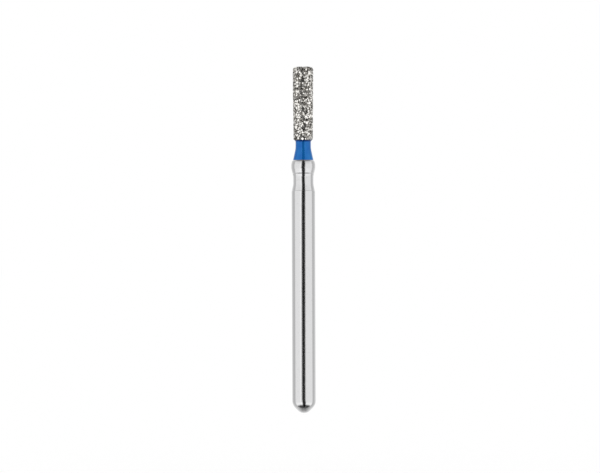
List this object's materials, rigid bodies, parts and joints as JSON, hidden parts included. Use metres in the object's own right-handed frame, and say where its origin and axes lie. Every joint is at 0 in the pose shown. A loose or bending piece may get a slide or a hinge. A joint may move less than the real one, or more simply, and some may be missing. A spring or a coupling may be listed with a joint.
{
  "type": "dental bur",
  "caption": "Dental bur with a diamond-coated, nearly cylindrical, flat-ended cutting head, a blue painted neck, a turned collar and a friction-grip shank.",
  "frame": {"origin": "on the bur's axis, where the straight wall of the shank begins above the rounded drive end", "axes": "+Z along the axis, from the drive end to the cutting head; the bur is round, so X and Y are any two directions across it"},
  "size_m": [0.0016, 0.0016, 0.0236],
  "materials": {
    "steel": "polished",
    "diamond_coat": "matte",
    "blue_paint": "gloss"
  },
  "bodies": {
    "root": {"steel_blank": "steel", "diamond_coat": "diamond_coat", "colour_band": "blue_paint"}
  },
  "joints": []
}
